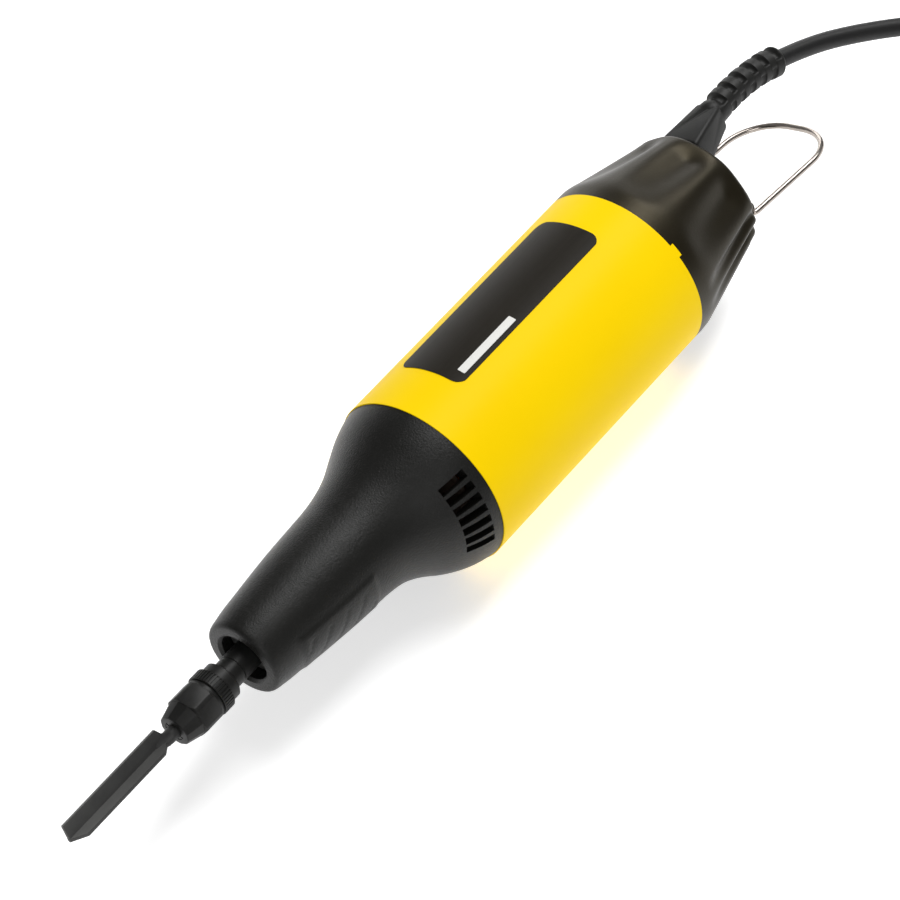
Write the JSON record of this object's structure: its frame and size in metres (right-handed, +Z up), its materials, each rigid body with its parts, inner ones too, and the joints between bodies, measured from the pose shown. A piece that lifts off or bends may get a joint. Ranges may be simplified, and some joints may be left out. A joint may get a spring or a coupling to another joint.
{
  "type": "electric carving pen",
  "caption": "Mains carving pen with a V-gouge in a collet, a reciprocating plunger driven by a swash cam, a hanging bail, a slide switch and a coiled cord.",
  "frame": {"origin": "on the surface that the tool lies on, under the middle of its length from the blade's tip to the strain relief's end", "axes": "+X along the motor axis towards the cord, +Z up from the surface, and the label faces up and a little towards +Y"},
  "size_m": [0.5486, 0.0747, 0.0543],
  "materials": {
    "black_plastic": "fine moulded grain",
    "yellow_plastic": "satin",
    "label_black": "satin",
    "label_pale": "satin",
    "blade_steel": "ground",
    "turned_steel": "turned",
    "black_oxide": "oxidised",
    "plated_steel": "nickel plated",
    "sintered_bronze": "dull",
    "felt": "dense felt",
    "laminations": "varnished laminations",
    "copper": "enamelled copper",
    "carbon": "pressed carbon",
    "brass": "pressed",
    "grey_plastic": "moulded",
    "aluminium": "die cast",
    "black_rubber": "matt",
    "cord_rubber": "satin"
  },
  "bodies": {
    "housing": {"nose_housing": "black_plastic", "barrel_housing": "yellow_plastic", "rear_cap": "black_plastic", "rating_label": "label_black", "label_strip": "label_pale", "front_bush": "sintered_bronze", "rear_bush": "sintered_bronze", "dust_seal": "felt", "return_spring": "turned_steel", "front_bearing": "plated_steel", "rear_bearing": "plated_steel", "bearing_plate": "aluminium", "rear_bracket": "grey_plastic", "stator_core": "laminations", "field_coil_1": "copper", "field_coil_2": "copper", "brush_holder_1": "brass", "brush_holder_2": "brass", "carbon_brush_1": "carbon", "carbon_brush_2": "carbon", "brush_spring_1": "turned_steel", "brush_spring_2": "turned_steel", "motor_screw_1": "turned_steel", "motor_screw_2": "turned_steel", "cap_screw_1": "turned_steel", "cap_screw_2": "turned_steel", "switch_body": "grey_plastic", "terminal_block": "grey_plastic", "capacitor": "yellow_plastic", "lead_wire_1": "cord_rubber", "lead_wire_2": "cord_rubber", "inner_cord": "cord_rubber", "cord_clamp": "black_plastic", "clamp_screw_1": "turned_steel", "clamp_screw_2": "turned_steel", "strain_relief": "black_rubber", "mains_cord": "cord_rubber", "cord_tail": "cord_rubber", "cord_coil": "cord_rubber", "plug_body": "black_rubber", "plug_pin_1": "plated_steel", "plug_pin_2": "plated_steel"},
    "plunger": {"spindle_rod": "black_oxide", "thrust_ball": "plated_steel", "spring_ring": "turned_steel", "lock_collar": "black_oxide", "collet": "black_oxide"},
    "nut": {"collet_nut": "black_oxide"},
    "blade": {"chisel_blade": "blade_steel"},
    "rotor": {"motor_shaft": "turned_steel", "swash_cam": "turned_steel", "armature_core": "laminations", "armature_winding": "copper", "commutator": "copper", "cooling_fan": "grey_plastic"},
    "bail": {"hang_bail": "plated_steel"},
    "slider": {"switch_slider": "black_plastic"}
  },
  "joints": [
    {"name": "plunger_stroke", "type": "slide", "parent": "housing", "child": "plunger", "axis": [1, 0, 0], "range_m": [0, 0.0014], "stiffness_N_per_m": 6000, "springref_m": -0.001, "deforming": ["return_spring"]},
    {"name": "nut_turn", "type": "hinge", "parent": "plunger", "child": "nut", "pos_m": [-0.1114, 0.00124, 0.02984], "axis": [1, 0, 0], "range_deg": [0, 360]},
    {"name": "blade_pull", "type": "slide", "parent": "plunger", "child": "blade", "axis": [-1, 0, 0], "range_m": [0, 0.0125]},
    {"name": "rotor_spin", "type": "hinge", "parent": "housing", "child": "rotor", "pos_m": [0.0046, 0, 0.027], "axis": [1, 0, 0], "continuous": true},
    {"name": "bail_swing", "type": "hinge", "parent": "housing", "child": "bail", "pos_m": [0.1149, -0.00255, 0.02113], "axis": [0, 0.9171, -0.3987], "range_deg": [-17, 19.5]},
    {"name": "switch_slide", "type": "slide", "parent": "housing", "child": "slider", "axis": [-1, 0, 0], "range_m": [0, 0.006]}
  ]
}
